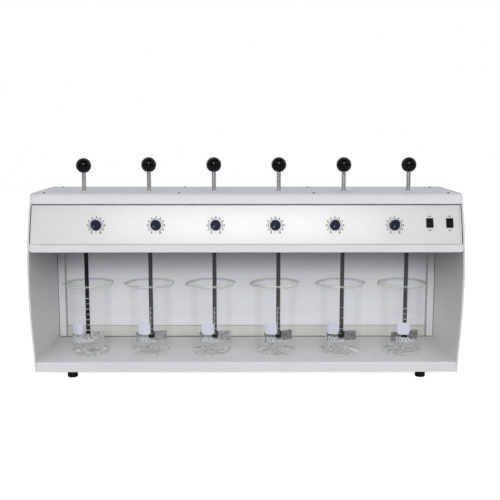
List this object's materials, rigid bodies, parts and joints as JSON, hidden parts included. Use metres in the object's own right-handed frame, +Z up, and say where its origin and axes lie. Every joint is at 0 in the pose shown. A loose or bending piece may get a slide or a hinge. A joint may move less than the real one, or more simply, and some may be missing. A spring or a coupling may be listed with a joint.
{
  "type": "jar tester",
  "caption": "Bench-top flocculation tester with stirred beakers in a lit bay, a speed dial for each stirrer and ball knobs that lift the paddles.",
  "frame": {"origin": "on the bench, under the middle of the case's width and depth", "axes": "+X along the row of beakers, to the right as the user faces it; +Y from the front to the back; +Z up"},
  "size_m": [1, 0.296, 0.5185],
  "materials": {
    "case_paint": "satin powder coat, pale grey",
    "panel_paint": "satin paint, near white",
    "frame_paint": "satin paint, cream white",
    "opal": "opal acrylic",
    "stainless": "ground stainless steel",
    "blade_steel": "sheet stainless steel",
    "black_phenolic": "polished black phenolic",
    "knob_plastic": "satin blue-black nylon",
    "switch_plastic": "gloss black",
    "rubber": "black rubber",
    "screw_black": "black oxide",
    "borosilicate": "clear borosilicate glass",
    "bush_nylon": "pale nylon",
    "motor_shell": "turned aluminium",
    "stator_iron": "varnished laminations",
    "bearing_steel": "ground bearing steel",
    "control_body": "plated and moulded",
    "board": "green circuit board",
    "zinc_steel": "zinc plated",
    "lamp_glass": "phosphor coated tube",
    "white_plastic": "moulded white"
  },
  "bodies": {
    "root": {"side_panel_left": "case_paint", "side_panel_right": "case_paint", "top_cover": "case_paint", "cover_rail": "zinc_steel", "control_panel": "panel_paint", "head_tray": "case_paint", "base_tray": "case_paint", "rear_cover": "case_paint", "light_diffuser": "opal", "diffuser_frame": "frame_paint", "lamp_tube": "lamp_glass", "lamp_holders": "white_plastic", "motor_housings": "motor_shell", "stator_rings": "stator_iron", "spindle_bearings": "bearing_steel", "shaft_bushes": "bush_nylon", "switch_housings": "switch_plastic", "speed_potentiometers": "control_body", "control_board": "board", "mains_inlet": "switch_plastic", "rubber_feet": "rubber", "cover_screws": "screw_black", "beaker_1": "borosilicate", "beaker_2": "borosilicate", "beaker_3": "borosilicate", "beaker_4": "borosilicate", "beaker_5": "borosilicate", "beaker_6": "borosilicate"},
    "spindle_1": {"drive_spindle_1": "stainless"},
    "stirrer_1": {"stirrer_shaft_1": "stainless", "ball_knob_1": "black_phenolic", "paddle_1": "blade_steel"},
    "knob_1": {"speed_knob_1": "knob_plastic"},
    "spindle_2": {"drive_spindle_2": "stainless"},
    "stirrer_2": {"stirrer_shaft_2": "stainless", "ball_knob_2": "black_phenolic", "paddle_2": "blade_steel"},
    "knob_2": {"speed_knob_2": "knob_plastic"},
    "spindle_3": {"drive_spindle_3": "stainless"},
    "stirrer_3": {"stirrer_shaft_3": "stainless", "ball_knob_3": "black_phenolic", "paddle_3": "blade_steel"},
    "knob_3": {"speed_knob_3": "knob_plastic"},
    "spindle_4": {"drive_spindle_4": "stainless"},
    "stirrer_4": {"stirrer_shaft_4": "stainless", "ball_knob_4": "black_phenolic", "paddle_4": "blade_steel"},
    "knob_4": {"speed_knob_4": "knob_plastic"},
    "spindle_5": {"drive_spindle_5": "stainless"},
    "stirrer_5": {"stirrer_shaft_5": "stainless", "ball_knob_5": "black_phenolic", "paddle_5": "blade_steel"},
    "knob_5": {"speed_knob_5": "knob_plastic"},
    "spindle_6": {"drive_spindle_6": "stainless"},
    "stirrer_6": {"stirrer_shaft_6": "stainless", "ball_knob_6": "black_phenolic", "paddle_6": "blade_steel"},
    "knob_6": {"speed_knob_6": "knob_plastic"},
    "lamp_switch": {"lamp_rocker": "switch_plastic"},
    "mains_switch": {"mains_rocker": "switch_plastic"}
  },
  "joints": [
    {"name": "spindle_1_spin", "type": "hinge", "parent": "root", "child": "spindle_1", "pos_m": [-0.38875, -0.02225, 0.3387], "axis": [0, 0, 1], "continuous": true},
    {"name": "stirrer_1_lift", "type": "slide", "parent": "spindle_1", "child": "stirrer_1", "axis": [0, 0, 1], "range_m": [-0.018, 0.202]},
    {"name": "knob_1_turn", "type": "hinge", "parent": "root", "child": "knob_1", "pos_m": [-0.34375, -0.1262, 0.3662], "axis": [0, 0.9494, -0.3139], "range_deg": [0, 300]},
    {"name": "spindle_2_spin", "type": "hinge", "parent": "root", "child": "spindle_2", "pos_m": [-0.23325, -0.02225, 0.3387], "axis": [0, 0, 1], "continuous": true},
    {"name": "stirrer_2_lift", "type": "slide", "parent": "spindle_2", "child": "stirrer_2", "axis": [0, 0, 1], "range_m": [-0.02, 0.2]},
    {"name": "knob_2_turn", "type": "hinge", "parent": "root", "child": "knob_2", "pos_m": [-0.20705, -0.1262, 0.3662], "axis": [0, 0.9494, -0.3139], "range_deg": [0, 300]},
    {"name": "spindle_3_spin", "type": "hinge", "parent": "root", "child": "spindle_3", "pos_m": [-0.07775, -0.02225, 0.3387], "axis": [0, 0, 1], "continuous": true},
    {"name": "stirrer_3_lift", "type": "slide", "parent": "spindle_3", "child": "stirrer_3", "axis": [0, 0, 1], "range_m": [-0.02, 0.2]},
    {"name": "knob_3_turn", "type": "hinge", "parent": "root", "child": "knob_3", "pos_m": [-0.07035, -0.1262, 0.3662], "axis": [0, 0.9494, -0.3139], "range_deg": [0, 300]},
    {"name": "spindle_4_spin", "type": "hinge", "parent": "root", "child": "spindle_4", "pos_m": [0.07775, -0.02225, 0.3387], "axis": [0, 0, 1], "continuous": true},
    {"name": "stirrer_4_lift", "type": "slide", "parent": "spindle_4", "child": "stirrer_4", "axis": [0, 0, 1], "range_m": [-0.02, 0.2]},
    {"name": "knob_4_turn", "type": "hinge", "parent": "root", "child": "knob_4", "pos_m": [0.06635, -0.1262, 0.3662], "axis": [0, 0.9494, -0.3139], "range_deg": [0, 300]},
    {"name": "spindle_5_spin", "type": "hinge", "parent": "root", "child": "spindle_5", "pos_m": [0.23325, -0.02225, 0.3387], "axis": [0, 0, 1], "continuous": true},
    {"name": "stirrer_5_lift", "type": "slide", "parent": "spindle_5", "child": "stirrer_5", "axis": [0, 0, 1], "range_m": [-0.02, 0.2]},
    {"name": "knob_5_turn", "type": "hinge", "parent": "root", "child": "knob_5", "pos_m": [0.20305, -0.1262, 0.3662], "axis": [0, 0.9494, -0.3139], "range_deg": [0, 300]},
    {"name": "spindle_6_spin", "type": "hinge", "parent": "root", "child": "spindle_6", "pos_m": [0.38875, -0.02225, 0.3387], "axis": [0, 0, 1], "continuous": true},
    {"name": "stirrer_6_lift", "type": "slide", "parent": "spindle_6", "child": "stirrer_6", "axis": [0, 0, 1], "range_m": [-0.02, 0.2]},
    {"name": "knob_6_turn", "type": "hinge", "parent": "root", "child": "knob_6", "pos_m": [0.33975, -0.1262, 0.3662], "axis": [0, 0.9494, -0.3139], "range_deg": [0, 300]},
    {"name": "lamp_switch_tilt", "type": "hinge", "parent": "root", "child": "lamp_switch", "pos_m": [0.4205, -0.12451, 0.3712], "axis": [-1, 0, 0], "range_deg": [0, 16]},
    {"name": "mains_switch_tilt", "type": "hinge", "parent": "root", "child": "mains_switch", "pos_m": [0.4662, -0.12451, 0.3712], "axis": [-1, 0, 0], "range_deg": [0, 16]}
  ]
}
